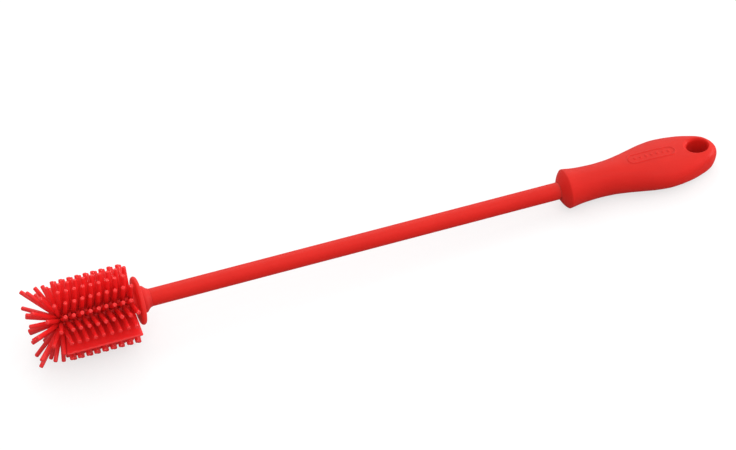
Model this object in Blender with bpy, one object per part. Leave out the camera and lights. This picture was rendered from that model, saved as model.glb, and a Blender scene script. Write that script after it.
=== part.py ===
"""Long-handled silicone bottle brush: a bristled silicone head on a barbed nylon plug,
a steel rod in a silicone skin, and a nylon handle core in a silicone grip with a hanging hole.

Metres, +Z up. The rod lies along X: the head is at -X, the handle at +X, and the
origin is the middle of the whole brush. The hanging hole runs along Z.
A radial direction round the rod is given as an angle from +Z towards -Y.
In names, X0 is the end nearer the head's nose and X1 the end nearer the hanging hole.
"""

import math

import bmesh
import bpy
import numpy as np
from mathutils import Matrix, Vector

MM = 0.001

# ---------------------------------------------------------------- clearances
FIT = 0.2 * MM  # radial play round the rod and the shaft
GAP = 0.3 * MM  # space between neighbouring pieces
OVERSHOOT = 2.0 * MM  # how far a cutter runs past the face it opens

# ---------------------------------------------------------------- brush head
HUB_R = 6.2 * MM
HUB_STEPS = 36
DOME_X = -180.7 * MM  # centre of the hub's rounded nose
DOME_ANGLES = (0, 22, 44, 67, 90)  # degrees from the nose's tip to the hub's side

COLLAR_R = 13.35 * MM
COLLAR_X0 = -140.6 * MM
COLLAR_X1 = -138.0 * MM
# hub to collar, mm: (x from COLLAR_X0, radius beyond HUB_R)
COLLAR_FILLET = ((-1.2, 0.0), (-0.3, 0.35), (0.0, 1.2))
# either edge of the collar's rim, mm: (distance in from the face, radius short of COLLAR_R)
COLLAR_EDGE = ((0.0, 0.9), (0.35, 0.3), (1.0, 0.0))

BOOT_R = 7.5 * MM
BOOT_LIP_R = 5.1 * MM
BOOT_END_X = -132.9 * MM
# boot behind the collar, mm: (x from COLLAR_X1, radius beyond BOOT_R)
BOOT_PROFILE = ((0.0, 0.3), (0.6, 0.0), (1.9, -0.2), (2.7, -0.7), (3.5, -1.6), (4.2, -2.15))

# ---------------------------------------------------------------- bristles
ROWS = 18  # angular places round the hub, one of them taken by the wiper blade
ROW_STEP = 360.0 / ROWS
BLADE_ROW = 5  # the blade stands in this place
PER_ROW = 9
PITCH = 4.47 * MM
X_EVEN = -182.0 * MM  # foremost bristle of the even rows
X_ODD = -179.75 * MM  # foremost bristle of the odd rows
BRISTLE_R = 1.25 * MM
BRISTLE_SIDES = 6
BRISTLE_END = 0.85 * BRISTLE_R  # length of the rounded end
BRISTLE_END_INSET = 0.48 * BRISTLE_R
ROOT_R = 5.0 * MM  # bristles start this far from the axis, inside the hub
TIP_R = 22.15 * MM  # their rounded ends reach this far

CENTRE_COUNT = 6
CENTRE_ROW = 1.8  # the first of the centre bristles stands at this place round the axis
CENTRE_ROWS = [CENTRE_ROW + k * ROWS / CENTRE_COUNT for k in range(CENTRE_COUNT)]
# (name, rows, root x, root radius, tip x, tip radius), in mm;
# the tip is one bristle radius short of the bristle's end
NOSE_BRISTLES = (
    ("nose_ring_1", range(1, ROWS, 2), -183.0, 5.0, -186.4, 19.9),
    ("nose_ring_2", range(0, ROWS, 2), -183.4, 4.5, -191.2, 19.4),
    ("nose_ring_3", range(1, ROWS, 2), -183.7, 3.9, -197.6, 19.5),
    ("nose_centre", CENTRE_ROWS, -184.2, 2.3, -198.65, 7.8),
)

# ---------------------------------------------------------------- wiper blade
BLADE_X0 = -185.1 * MM  # front edge at the outer corner
BLADE_ROOT_X0 = -181.5 * MM  # front edge at the hub: the edge leans forward
BLADE_X1 = -143.0 * MM
BLADE_MID_X = -164.0 * MM  # the hinge's place along the hub
BLADE_T = 1.5 * MM
BLADE_R = 22.0 * MM
BLADE_CORNER = 0.9 * MM
BLADE_BEVEL = 0.3 * MM

# ---------------------------------------------------------------- rod, plug and skin
ROD_R = 2.5 * MM
ROD_X0 = -175.0 * MM
ROD_X1 = 160.0 * MM
ROD_CHAMFER = 0.5 * MM
ROD_STEPS = 24
ROD_BORE_R = ROD_R + FIT
ROD_FLAT_X = 142.0 * MM  # two flats from here stop the rod turning in the handle
ROD_FLAT_H = 1.9 * MM
FLAT_CUT_REACH = 4.0 * MM  # the flats' cutters reach this far from the axis in Y and Z
ROD_CUT_OVERSHOOT = 1.0 * MM

PLUG_X0 = -178.6 * MM
PLUG_X1 = BOOT_END_X - GAP
PLUG_R = 3.1 * MM
PLUG_CHAMFER = 1.0 * MM
PLUG_STEPS = 24
BARB_COUNT = 5
BARB_R = 3.6 * MM
BARB_START = 5.0 * MM  # from the plug's front end to the first barb
BARB_PITCH = 7.2 * MM
# one barb, mm along X from its start: (end of the slope, end of the crest, foot of the drop)
BARB_SHAPE = (3.2, 3.8, 4.0)

HEAD_BORE_R = BARB_R + GAP
HEAD_BORE_X = -179.4 * MM
HEAD_BORE_CHAMFER = 1.2 * MM

CORE_SOCKET_X = 118.0 * MM  # floor of the handle core's socket for the shaft
SHAFT_R = 4.9 * MM
SHAFT_X0 = BOOT_END_X + GAP
SHAFT_X1 = CORE_SOCKET_X - GAP
SHAFT_CHAMFER = 0.2 * MM
SHAFT_BORE_R = SHAFT_R + FIT

# ---------------------------------------------------------------- handle
# sections along X, mm: (x, half width in Y, half thickness in Z, squareness)
GRIP_SECTIONS = [
    (104.2, 5.9, 5.9, 2.0),
    (105.6, 7.7, 7.7, 2.0),
    (106.9, 9.9, 9.9, 2.0),
    (108.2, 10.85, 10.85, 2.0),
    (109.2, 11.0, 11.0, 2.0),
    (110.0, 10.95, 10.95, 2.0),
    (114.0, 10.4, 10.4, 2.0),
    (119.0, 9.95, 9.95, 2.0),
    (127.0, 9.7, 9.65, 2.0),
    (134.0, 10.15, 9.7, 2.0),
    (142.7, 11.8, 9.7, 2.05),
    (150.7, 14.0, 9.6, 2.1),
    (158.7, 16.0, 9.5, 2.15),
    (166.3, 16.9, 9.4, 2.2),
    (172.0, 16.5, 9.2, 2.3),
    (177.0, 15.6, 9.1, 2.4),
    (179.0, 15.1, 9.05, 2.45),
    (182.0, 14.15, 9.0, 2.5),
    (186.0, 12.65, 8.9, 2.55),
    (190.0, 10.95, 8.7, 2.6),
    (193.8, 8.95, 7.9, 2.6),
    (196.8, 6.4, 6.3, 2.4),
    (198.8, 3.9, 4.2, 2.2),
    (199.7, 2.2, 2.4, 2.0),
    (200.0, 0.9, 0.9, 2.0),
]
GRIP_POINTS = 32
LAND_Z = 7.8 * MM  # the flat lands round the hanging hole
LAND_X = 179.0 * MM  # before this the faces rise gently towards the palm
LAND_SLOPE = 0.1
SKIN = 2.2 * MM
FULL_INSET_SIZE = 4.0 * MM  # sections with a smaller half size are drawn in by less
GRIP_BORE_X0 = 100.0 * MM

CORE_X0 = 109.8 * MM
CORE_X1 = 178.0 * MM  # short of the hanging hole: the handle's end is solid silicone
FIRST_RING_SPACE = 0.5 * MM
END_LENGTH = 5.0 * MM  # no ring of the handle's own stands this close to the rounded end
# rounded end of the core and its cavity, mm: (distance before the end, further inset)
END_ROUNDING = ((3.2, 0.5), (1.3, 1.6), (0.3, 3.0), (0.0, 4.2))

HOLE_X = 188.2 * MM
HOLE_R = 5.45 * MM  # half the hole's width
HOLE_LONG = 1.35 * MM  # the hole is longer along the handle by this each way
HOLE_MOUTH = 1.15 * MM  # the hole is wider by this at the lands
MOUTH_Z = 5.8 * MM  # the hole starts to widen here
HOLE_LEVELS = (5.8, 6.5, 7.2, 7.8, 8.6, 9.8)  # mm either way from the middle plane


# ================================================================ helpers
def new_object(name, bm, material=None, smooth=True):
    mesh = bpy.data.meshes.new(name)
    bmesh.ops.recalc_face_normals(bm, faces=bm.faces)
    if smooth:
        for face in bm.faces:
            face.smooth = True
    bm.to_mesh(mesh)
    bm.free()
    obj = bpy.data.objects.new(name, mesh)
    bpy.context.scene.collection.objects.link(obj)
    if material:
        mesh.materials.append(material)
    return obj


def helper(obj):
    """A cutter or an addition: it shapes other objects and isn't a piece itself."""
    obj.hide_render = True
    obj.display_type = "WIRE"
    return obj


def principled(name, colour, roughness, metallic=0.0):
    material = bpy.data.materials.new(name)
    material.use_nodes = True
    shader = material.node_tree.nodes["Principled BSDF"]
    shader.inputs["Base Color"].default_value = (*colour, 1.0)
    shader.inputs["Roughness"].default_value = roughness
    shader.inputs["Metallic"].default_value = metallic
    return material


def boolean(obj, other, operation):
    modifier = obj.modifiers.new(f"{operation.lower()} {other.name}", "BOOLEAN")
    modifier.object = other
    modifier.operation = operation
    modifier.solver = "EXACT"


def spin_chain(points, axis, steps):
    """A chain of points spun a full turn round an axis through the origin, as a bmesh.
    It starts and ends on the axis, or is given closed by repeating its first point."""
    bm = bmesh.new()
    closed = points[0] == points[-1]
    verts = [bm.verts.new(point) for point in (points[:-1] if closed else points)]
    edges = [bm.edges.new(pair) for pair in zip(verts, verts[1:])]
    if closed:
        edges.append(bm.edges.new((verts[-1], verts[0])))
    bmesh.ops.spin(
        bm,
        geom=verts + edges,
        cent=(0, 0, 0),
        axis=axis,
        angle=math.tau,
        steps=steps,
        use_merge=True,
    )
    bmesh.ops.remove_doubles(bm, verts=bm.verts, dist=1e-7)
    return bm


def revolve(name, profile, material=None, steps=32):
    """A profile of (x, radius) points spun round the X axis."""
    points = [(x, 0.0, radius) for x, radius in profile]
    return new_object(name, spin_chain(points, (1, 0, 0), steps), material)


def tube_cutter(name, x0, x1, radius, steps=32):
    """A solid cylinder along X."""
    profile = [(x0, 0.0), (x0, radius), (x1, radius), (x1, 0.0)]
    return helper(revolve(name, profile, steps=steps))


def block(name, low, high):
    bm = bmesh.new()
    bmesh.ops.create_cube(bm, size=1.0)
    centre = (Vector(low) + Vector(high)) / 2
    size = Vector(high) - Vector(low)
    bmesh.ops.transform(
        bm,
        matrix=Matrix.Translation(centre) @ Matrix.Diagonal((*size, 1.0)),
        verts=bm.verts,
    )
    return helper(new_object(name, bm, smooth=False))


def cut_flats(obj, name, x0, x1, height):
    """Cut obj flat at height above and below the axis, from x0 to x1."""
    reach = FLAT_CUT_REACH
    for side in (1, -1):
        z0, z1 = sorted((side * height, side * reach))
        cutter = block(f"{name}_{side}", (x0, -reach, z0), (x1, reach, z1))
        boolean(obj, cutter, "DIFFERENCE")


def along_x(x):
    return Vector((x, 0.0, 0.0))


def radial(row):
    angle = math.radians(row * ROW_STEP)
    return Vector((0.0, -math.sin(angle), math.cos(angle)))


# ================================================================ bristles
def bristle_mesh(length):
    """One bristle along +Z from its root at the origin: a prism with its end inset
    and pushed out to round it."""
    bm = bmesh.new()
    body = length - BRISTLE_END
    bmesh.ops.create_cone(
        bm,
        cap_ends=True,
        segments=BRISTLE_SIDES,
        radius1=BRISTLE_R,
        radius2=BRISTLE_R,
        depth=body,
        matrix=Matrix.Translation((0, 0, body / 2)),
    )
    top = max(bm.faces, key=lambda face: face.calc_center_median().z)
    bmesh.ops.inset_region(bm, faces=[top], thickness=BRISTLE_END_INSET)
    for vertex in top.verts:
        vertex.co.z = length
    mesh = bpy.data.meshes.new("bristle")
    bm.to_mesh(mesh)
    bm.free()
    return mesh


def bristles(name, places):
    """Bristles from root to rounded end, as (root, end) points."""
    bm = bmesh.new()
    for root, end in places:
        along = (end - root).normalized()
        mesh = bristle_mesh((end - root).length)
        before = len(bm.verts)
        bm.from_mesh(mesh)
        bpy.data.meshes.remove(mesh)
        bm.verts.ensure_lookup_table()
        turn = Vector((0, 0, 1)).rotation_difference(along).to_matrix().to_4x4()
        bmesh.ops.transform(
            bm, matrix=Matrix.Translation(root) @ turn, verts=bm.verts[before:]
        )
    return helper(new_object(name, bm))


def straight_bristles(name, first_row, x0):
    """Every second row, standing square to the hub, without the blade's row."""
    places = []
    for row in range(first_row, ROWS, 2):
        if row == BLADE_ROW:
            continue
        for k in range(PER_ROW):
            foot = along_x(x0 + k * PITCH)
            places.append((foot + radial(row) * ROOT_R, foot + radial(row) * TIP_R))
    return bristles(name, places)


def nose_bristles(name, rows, root_x, root_r, tip_x, tip_r):
    """Bristles leaning forward from the nose, sized in mm."""
    places = []
    for row in rows:
        root = along_x(root_x * MM) + radial(row) * (root_r * MM)
        tip = along_x(tip_x * MM) + radial(row) * (tip_r * MM)
        places.append((root, tip + (tip - root).normalized() * BRISTLE_R))
    return bristles(name, places)


# ================================================================ brush head
def head_profile():
    """From the nose's tip back over the hub, collar and boot, then forward along the bore."""
    angles = [math.radians(degrees) for degrees in DOME_ANGLES]
    dome = [(DOME_X - HUB_R * math.cos(a), HUB_R * math.sin(a)) for a in angles]
    fillet = [(COLLAR_X0 + x * MM, HUB_R + rise * MM) for x, rise in COLLAR_FILLET]
    front_edge = [(COLLAR_X0 + x * MM, COLLAR_R - drop * MM) for x, drop in COLLAR_EDGE]
    back_edge = [(COLLAR_X1 - x * MM, COLLAR_R - drop * MM) for x, drop in reversed(COLLAR_EDGE)]
    boot = [(COLLAR_X1 + x * MM, BOOT_R + rise * MM) for x, rise in BOOT_PROFILE]
    bore = [
        (BOOT_END_X, BOOT_LIP_R),
        (BOOT_END_X, HEAD_BORE_R),
        (HEAD_BORE_X + HEAD_BORE_CHAMFER, HEAD_BORE_R),
        (HEAD_BORE_X, HEAD_BORE_R - HEAD_BORE_CHAMFER),
        (HEAD_BORE_X, 0.0),
    ]
    return dome + fillet + front_edge + back_edge + boot + bore


def build_brush_head(material):
    head = revolve("brush_head", head_profile(), material, steps=HUB_STEPS)
    boolean(head, straight_bristles("even_rows", 0, X_EVEN), "UNION")
    boolean(head, straight_bristles("odd_rows", 1, X_ODD), "UNION")
    for ring in NOSE_BRISTLES:
        boolean(head, nose_bristles(*ring), "UNION")


# ================================================================ wiper blade
def blade_mesh():
    """Drawn in the plane of X and the radius from the hinge, extruded to its thickness,
    with its outer edges bevelled."""
    low = GAP
    high = BLADE_R - HUB_R
    corner = BLADE_CORNER
    outline = [
        (BLADE_ROOT_X0, low),
        (BLADE_X1, low),
        (BLADE_X1, high - corner),
        (BLADE_X1 - 0.3 * corner, high - 0.3 * corner),
        (BLADE_X1 - corner, high),
        (BLADE_X0 + corner, high),
        (BLADE_X0 + 0.3 * corner, high - 0.3 * corner),
        (BLADE_X0 + 0.2 * corner, high - corner),
    ]
    bm = bmesh.new()
    face = bm.faces.new([bm.verts.new((x - BLADE_MID_X, -BLADE_T / 2, z)) for x, z in outline])
    moved = bmesh.ops.extrude_face_region(bm, geom=[face])["geom"]
    bmesh.ops.translate(
        bm,
        vec=(0, BLADE_T, 0),
        verts=[item for item in moved if isinstance(item, bmesh.types.BMVert)],
    )
    # the edges round both faces from corner to corner, but not those across the thickness
    outer = [
        edge
        for edge in bm.edges
        if all(vertex.co.z > high - 1.01 * corner for vertex in edge.verts)
        and abs(edge.verts[0].co.y - edge.verts[1].co.y) < 1e-7
    ]
    bmesh.ops.bevel(bm, geom=outer, offset=BLADE_BEVEL, segments=1, affect="EDGES")
    return bm


def build_wiper_blade(material):
    """The blade hangs on an empty at the hub's surface, turned to the blade's row."""
    blade = new_object("wiper_blade", blade_mesh(), material, smooth=False)
    hinge = bpy.data.objects.new("blade_hinge", None)
    bpy.context.scene.collection.objects.link(hinge)
    hinge.location = along_x(BLADE_MID_X) + radial(BLADE_ROW) * HUB_R
    hinge.rotation_euler = (math.radians(BLADE_ROW * ROW_STEP), 0.0, 0.0)
    blade.parent = hinge


# ================================================================ plug, rod and skin
def build_head_plug(material):
    profile = [(PLUG_X0, 0.0), (PLUG_X0, PLUG_R - PLUG_CHAMFER), (PLUG_X0 + PLUG_CHAMFER, PLUG_R)]
    # each barb slopes up towards the handle and drops almost square,
    # so the head pushes on more easily than it pulls off
    slope_end, crest_end, foot = (x * MM for x in BARB_SHAPE)
    for k in range(BARB_COUNT):
        start = PLUG_X0 + BARB_START + k * BARB_PITCH
        profile += [
            (start, PLUG_R),
            (start + slope_end, BARB_R),
            (start + crest_end, BARB_R),
            (start + foot, PLUG_R),
        ]
    profile += [
        (PLUG_X1, PLUG_R),
        (PLUG_X1, ROD_BORE_R),
        (ROD_X0 - GAP, ROD_BORE_R),
        (ROD_X0 - GAP, 0.0),
    ]
    revolve("head_plug", profile, material, steps=PLUG_STEPS)


def build_core_rod(material):
    profile = [
        (ROD_X0, 0.0),
        (ROD_X0, ROD_R - ROD_CHAMFER),
        (ROD_X0 + ROD_CHAMFER, ROD_R),
        (ROD_X1 - ROD_CHAMFER, ROD_R),
        (ROD_X1, ROD_R - ROD_CHAMFER),
        (ROD_X1, 0.0),
    ]
    rod = revolve("core_rod", profile, material, steps=ROD_STEPS)
    cut_flats(rod, "rod_flat", ROD_FLAT_X, ROD_X1 + ROD_CUT_OVERSHOOT, ROD_FLAT_H)


def build_shaft_sleeve(material):
    profile = [
        (SHAFT_X0, ROD_BORE_R),
        (SHAFT_X0, SHAFT_R - SHAFT_CHAMFER),
        (SHAFT_X0 + SHAFT_CHAMFER, SHAFT_R),
        (SHAFT_X1, SHAFT_R),
        (SHAFT_X1, ROD_BORE_R),
        (SHAFT_X0, ROD_BORE_R),
    ]
    revolve("shaft_sleeve", profile, material)


# ================================================================ handle
def section(x, inset):
    """Half width, half thickness and squareness of the handle at x, drawn in by inset."""
    places, *columns = zip(*GRIP_SECTIONS)
    width, thickness, squareness = (float(np.interp(x / MM, places, col)) for col in columns)
    width, thickness = (
        size - inset * min(1.0, size / FULL_INSET_SIZE) for size in (width * MM, thickness * MM)
    )
    return width, thickness, squareness


def loft(name, stations, inset, material=None):
    """Rings of the handle's section bridged from the first station to the last and capped
    at both ends. A station is (x, how much further in the ring is drawn there)."""
    bm = bmesh.new()
    rings = []
    for x, further in stations:
        drawn_in = inset + further
        width, thickness, squareness = section(x, drawn_in)
        land = LAND_Z + LAND_SLOPE * max(0.0, LAND_X - x) - drawn_in
        ring = []
        for k in range(GRIP_POINTS):
            angle = math.tau * k / GRIP_POINTS
            cos, sin = math.cos(angle), math.sin(angle)
            y = width * math.copysign(abs(cos) ** (2 / squareness), cos)
            z = thickness * math.copysign(abs(sin) ** (2 / squareness), sin)
            ring.append(bm.verts.new((x, y, max(-land, min(land, z)))))
        rings.append(
            [bm.edges.new((ring[k], ring[(k + 1) % GRIP_POINTS])) for k in range(GRIP_POINTS)]
        )
        if len(rings) > 1:
            bmesh.ops.bridge_loops(bm, edges=rings[-2] + rings[-1])
    for edges in (rings[0], rings[-1]):
        bmesh.ops.contextual_create(bm, geom=edges)
    return new_object(name, bm, material)


def inner_stations(x0, x1):
    """Where the rings of the core and of its cavity stand: the handle's own sections,
    closing to a rounded end at x1."""
    inner = [
        (x * MM, 0.0)
        for x, *_ in GRIP_SECTIONS
        if x0 + FIRST_RING_SPACE < x * MM < x1 - END_LENGTH
    ]
    end = [(x1 - before * MM, further * MM) for before, further in END_ROUNDING]
    return [(x0, 0.0)] + inner + end


def hanging_hole_cutter():
    """Ovals about the hole's axis, widening towards both mouths."""
    levels = [z * MM for z in HOLE_LEVELS]
    levels = [-z for z in reversed(levels)] + levels
    points = [(0.0, 0.0, levels[0])]
    for z in levels:
        widening = max(0.0, abs(z) - MOUTH_Z) / (LAND_Z - MOUTH_Z)
        points.append((HOLE_R + HOLE_MOUTH * widening**2, 0.0, z))
    points.append((0.0, 0.0, levels[-1]))
    bm = spin_chain(points, (0, 0, 1), steps=32)
    for vertex in bm.verts:
        radius = math.hypot(vertex.co.x, vertex.co.y)
        if radius > 1e-6:
            vertex.co.x *= (radius + HOLE_LONG) / radius
    cutter = helper(new_object("hanging_hole", bm))
    cutter.location = along_x(HOLE_X)
    return cutter


def build_handle_core(material):
    core = loft("handle_core", inner_stations(CORE_X0, CORE_X1), SKIN + GAP, material)
    socket = tube_cutter("core_socket", CORE_X0 - OVERSHOOT, CORE_SOCKET_X, SHAFT_BORE_R)
    boolean(core, socket, "DIFFERENCE")
    bore = tube_cutter(
        "rod_bore", CORE_SOCKET_X - OVERSHOOT, ROD_X1 + GAP, ROD_BORE_R, steps=ROD_STEPS
    )
    cut_flats(bore, "bore_flat", ROD_FLAT_X + GAP, ROD_X1 + OVERSHOOT, ROD_FLAT_H + FIT)
    boolean(core, bore, "DIFFERENCE")


def build_handle_grip(material):
    grip = loft("handle_grip", [(x * MM, 0.0) for x, *_ in GRIP_SECTIONS], 0.0, material)
    cavity = helper(loft("grip_cavity", inner_stations(CORE_X0 - GAP, CORE_X1 + GAP), SKIN))
    boolean(grip, cavity, "DIFFERENCE")
    bore = tube_cutter("grip_bore", GRIP_BORE_X0, CORE_X0 + OVERSHOOT, SHAFT_BORE_R)
    boolean(grip, bore, "DIFFERENCE")
    boolean(grip, hanging_hole_cutter(), "DIFFERENCE")


# ================================================================ build
for old in list(bpy.data.objects):
    bpy.data.objects.remove(old, do_unlink=True)

head_silicone = principled("head_silicone", colour=(0.78, 0.010, 0.016), roughness=0.34)
skin_silicone = principled("skin_silicone", colour=(0.79, 0.036, 0.028), roughness=0.48)
nylon = principled("nylon", colour=(0.62, 0.60, 0.55), roughness=0.50)
steel = principled("steel", colour=(0.60, 0.60, 0.62), roughness=0.28, metallic=1.0)

build_brush_head(head_silicone)
build_wiper_blade(head_silicone)
build_head_plug(nylon)
build_core_rod(steel)
build_shaft_sleeve(skin_silicone)
build_handle_core(nylon)
build_handle_grip(skin_silicone)
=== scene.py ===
"""Looks of the silicone bottle brush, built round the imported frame.

Metres, +Z up. The shaft lies along X: the bristled head at -X, the handle grip at +X,
the emblem on the grip's +Z side. The camera looks from -Y and above.
"""

import math
import random

import bmesh
import bpy
from mathutils import Matrix, Vector, noise


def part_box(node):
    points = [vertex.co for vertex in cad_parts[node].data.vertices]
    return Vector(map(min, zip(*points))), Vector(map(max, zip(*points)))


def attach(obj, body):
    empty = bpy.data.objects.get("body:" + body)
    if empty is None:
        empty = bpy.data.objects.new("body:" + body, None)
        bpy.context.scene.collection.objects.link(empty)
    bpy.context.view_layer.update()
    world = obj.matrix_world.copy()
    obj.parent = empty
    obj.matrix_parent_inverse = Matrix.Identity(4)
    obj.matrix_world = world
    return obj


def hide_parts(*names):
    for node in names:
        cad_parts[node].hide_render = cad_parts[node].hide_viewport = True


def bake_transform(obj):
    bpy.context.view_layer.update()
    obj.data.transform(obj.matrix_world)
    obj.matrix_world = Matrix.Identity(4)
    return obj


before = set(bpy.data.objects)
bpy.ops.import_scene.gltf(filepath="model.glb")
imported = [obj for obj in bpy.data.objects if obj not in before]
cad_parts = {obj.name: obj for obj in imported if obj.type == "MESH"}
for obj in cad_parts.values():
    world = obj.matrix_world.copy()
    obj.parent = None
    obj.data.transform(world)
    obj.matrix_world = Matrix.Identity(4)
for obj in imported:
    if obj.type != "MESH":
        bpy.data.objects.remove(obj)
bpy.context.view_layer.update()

MM = 0.001
QUICK = bool(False)

# ------------------------------------------------------------------ places taken from the frame
SLEEVE_LO, SLEEVE_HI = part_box("shaft_sleeve")
PLUG_LO, PLUG_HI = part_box("head_plug")
SHAFT_R = (SLEEVE_HI.y - SLEEVE_LO.y) / 2
BARB_R = (PLUG_HI.y - PLUG_LO.y) / 2
ROD_BORE_R = 2.7 * MM


# ================================================================== mesh helpers
def add_object(name, mesh):
    obj = bpy.data.objects.new(name, mesh)
    bpy.context.scene.collection.objects.link(obj)
    return obj


def mesh_from(name, verts, faces):
    mesh = bpy.data.meshes.new(name)
    mesh.from_pydata([tuple(v) for v in verts], [], faces)
    bm = bmesh.new()
    bm.from_mesh(mesh)
    bmesh.ops.recalc_face_normals(bm, faces=bm.faces)
    bm.to_mesh(mesh)
    bm.free()
    return mesh


def set_material(obj, material):
    obj.data.materials.clear()
    obj.data.materials.append(material)


def dress(obj, material, sharp_degrees):
    """Smooth shading with edges kept sharp above an angle, and one material."""
    mesh = obj.data
    mesh.polygons.foreach_set("use_smooth", [True] * len(mesh.polygons))
    mesh.set_sharp_from_angle(angle=math.radians(sharp_degrees))
    mesh.update()
    set_material(obj, material)


def band(first, second, count):
    """Quads between two rings of count vertices that start at these indices."""
    faces = []
    for k in range(count):
        j = (k + 1) % count
        faces.append((first + k, first + j, second + j, second + k))
    return faces


def lofted(name, rings):
    """Rings of points in millimetres, joined in order and capped at both ends."""
    count = len(rings[0])
    verts = [(x * MM, y * MM, z * MM) for ring in rings for x, y, z in ring]
    faces = []
    for i in range(len(rings) - 1):
        faces += band(i * count, (i + 1) * count, count)
    faces.append(tuple(reversed(range(count))))
    faces.append(tuple((len(rings) - 1) * count + k for k in range(count)))
    return mesh_from(name, verts, faces)


def revolved(name, profile, steps, upright=False):
    """Turns (place along the axis, radius) points round X, or round Z if upright.

    The profile begins and ends on the axis.
    """
    verts, faces, rings = [], [], []
    for x, radius in profile:
        first = len(verts)
        if radius < 1e-9:
            verts.append((x, 0, 0))
        else:
            for k in range(steps):
                angle = math.tau * k / steps
                verts.append((x, -radius * math.sin(angle), radius * math.cos(angle)))
        rings.append(range(first, len(verts)))
    for near, far in zip(rings, rings[1:]):
        for k in range(steps):
            j = (k + 1) % steps
            if len(near) == 1:
                faces.append((near[0], far[j], far[k]))
            elif len(far) == 1:
                faces.append((near[k], near[j], far[0]))
            else:
                faces.append((near[k], near[j], far[j], far[k]))
    if upright:
        verts = [(-y, z, x) for x, y, z in verts]
    return mesh_from(name, verts, faces)


def apply_booleans(obj, operation, others):
    """Joins or cuts obj with each of the others in turn and keeps only the result."""
    for other in others:
        modifier = obj.modifiers.new("cut", "BOOLEAN")
        modifier.object = other
        modifier.operation = operation
        modifier.solver = "EXACT"
    bpy.context.view_layer.update()
    graph = bpy.context.evaluated_depsgraph_get()
    mesh = bpy.data.meshes.new_from_object(obj.evaluated_get(graph))
    obj.modifiers.clear()
    obj.data = mesh
    for other in others:
        bpy.data.objects.remove(other, do_unlink=True)
    bm = bmesh.new()
    bm.from_mesh(mesh)
    bmesh.ops.remove_doubles(bm, verts=bm.verts, dist=2e-7)
    bmesh.ops.dissolve_degenerate(bm, edges=bm.edges, dist=2e-7)
    bm.to_mesh(mesh)
    bm.free()
    return obj


def curve_at(table, column, x, square=False):
    """Smooth curve through a table's column, monotone between its points.

    With square, the column's squares are interpolated, which rounds off a closing end.
    """
    xs = [row[0] for row in table]
    ys = [row[column] ** 2 if square else row[column] for row in table]
    last = len(xs) - 1
    slopes = [(ys[i + 1] - ys[i]) / (xs[i + 1] - xs[i]) for i in range(last)]

    def tangent(i):
        if i == 0:
            return slopes[0]
        if i == last:
            return slopes[-1]
        before, after = slopes[i - 1], slopes[i]
        if before * after <= 0:
            return 0.0
        step_before, step_after = xs[i] - xs[i - 1], xs[i + 1] - xs[i]
        weight_before = 2 * step_after + step_before
        weight_after = step_after + 2 * step_before
        total = weight_before + weight_after
        return total / (weight_before / before + weight_after / after)

    if x <= xs[0]:
        y = ys[0]
    elif x >= xs[-1]:
        y = ys[-1]
    else:
        i = next(k for k in range(last) if xs[k] <= x <= xs[k + 1])
        step = xs[i + 1] - xs[i]
        t = (x - xs[i]) / step
        y = (
            (2 * t**3 - 3 * t**2 + 1) * ys[i]
            + (t**3 - 2 * t**2 + t) * step * tangent(i)
            + (-2 * t**3 + 3 * t**2) * ys[i + 1]
            + (t**3 - t**2) * step * tangent(i + 1)
        )
    return math.sqrt(max(y, 0.0)) if square else y


# ================================================================== shader node helpers
def node_material(name):
    material = bpy.data.materials.new(name)
    material.use_nodes = True
    tree = material.node_tree
    return material, tree, tree.nodes["Principled BSDF"]


def is_socket(value):
    return isinstance(value, bpy.types.NodeSocket)


def feed(tree, socket, value):
    """Links an output socket to an input, or sets the input's plain value."""
    if is_socket(value):
        tree.links.new(value, socket)
    else:
        socket.default_value = value


def feed_all(tree, node, values):
    for name, value in values.items():
        feed(tree, node.inputs[name], value)


def source(socket):
    """The output that an input is linked to."""
    return socket.links[0].from_socket


def add(tree, kind, *inputs, **values):
    """A node; values are its settings and named inputs, inputs are fed in socket order."""
    node = tree.nodes.new(kind)
    for key, value in values.items():
        if key in node.inputs:
            feed(tree, node.inputs[key], value)
        else:
            setattr(node, key, value)
    for i, value in enumerate(inputs):
        feed(tree, node.inputs[i], value)
    return node


def object_coords(tree):
    return add(tree, "ShaderNodeTexCoord").outputs["Object"]


def object_noise(tree, scale, detail=3.0, roughness=0.55):
    texture = add(
        tree, "ShaderNodeTexNoise",
        Vector=object_coords(tree), Scale=scale, Detail=detail, Roughness=roughness,
    )
    return texture.outputs["Fac"]


def x_part(tree, vector):
    return add(tree, "ShaderNodeSeparateXYZ", Vector=vector).outputs["X"]


def ramp(tree, value, span, onto=(0.0, 1.0), shape="LINEAR"):
    """value within span, mapped onto another span and clamped."""
    node = add(tree, "ShaderNodeMapRange", value, *span, *onto, interpolation_type=shape)
    return node.outputs["Result"]


def math_node(tree, operation, first, second):
    return add(tree, "ShaderNodeMath", first, second, operation=operation).outputs["Value"]


def along_direction(tree, vector, direction):
    """How far a vector points in a fixed direction."""
    node = add(tree, "ShaderNodeVectorMath", vector, direction, operation="DOT_PRODUCT")
    return node.outputs["Value"]


def facing(tree, direction):
    normal = add(tree, "ShaderNodeNewGeometry").outputs["Normal"]
    return along_direction(tree, normal, direction)


def colour_mix(tree, factor, low, high, blend="MIX"):
    """Two colours, each an RGB triple or a socket, mixed by factor."""
    low, high = [c if is_socket(c) else (*c, 1.0) for c in (low, high)]
    node = add(
        tree, "ShaderNodeMix",
        data_type="RGBA", blend_type=blend, A=low, B=high, Factor=factor,
    )
    return node.outputs["Result"]


def bump(tree, height, strength, distance, **over):
    node = add(
        tree, "ShaderNodeBump", Strength=strength, Distance=distance, Height=height, **over
    )
    return node.outputs["Normal"]


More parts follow.
